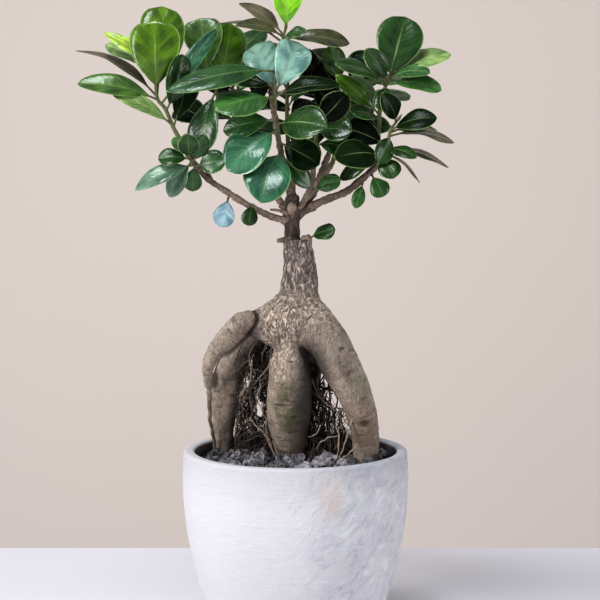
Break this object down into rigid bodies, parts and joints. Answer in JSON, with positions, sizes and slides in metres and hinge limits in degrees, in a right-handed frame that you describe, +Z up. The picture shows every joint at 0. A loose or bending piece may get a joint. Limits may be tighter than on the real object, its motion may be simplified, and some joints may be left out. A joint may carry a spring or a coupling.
{
  "type": "potted ginseng ficus",
  "caption": "Bonsai-like ginseng ficus with swollen stilt roots and a spreading crown of oval leaves, standing in gravel in a round tapered concrete pot.",
  "frame": {"origin": "centre of the pot's underside, on the surface that the pot stands on", "axes": "+Z up along the pot's axis; -Y towards the plant's front; +X to the right seen from the front"},
  "size_m": [0.2244, 0.1577, 0.3933],
  "materials": {
    "concrete": "whitewashed, matt",
    "soil": "damp crumbs",
    "gravel": "rough",
    "bark": "rough, speckled",
    "leaf": "glossy",
    "young_leaf": "glossy"
  },
  "bodies": {
    "root": {"ginseng_trunk": "bark", "gravel": "gravel", "leaf_inner": "leaf", "leaf_left_hanging": "leaf", "leaf_left_inner": "leaf", "leaf_right_hanging": "leaf", "leaf_right_small": "leaf", "leaf_stock": "leaf", "pot": "concrete", "potting_soil": "soil", "shoot_back": "leaf", "shoot_back_left": "leaf", "shoot_back_right": "leaf", "shoot_centre": "leaf", "shoot_left": "young_leaf", "shoot_left_back": "leaf", "shoot_right": "leaf", "spray_centre_low": "leaf", "spray_centre_right": "leaf", "spray_front": "leaf", "twig_left_low": "leaf", "twig_right_low": "leaf"}
  },
  "joints": []
}
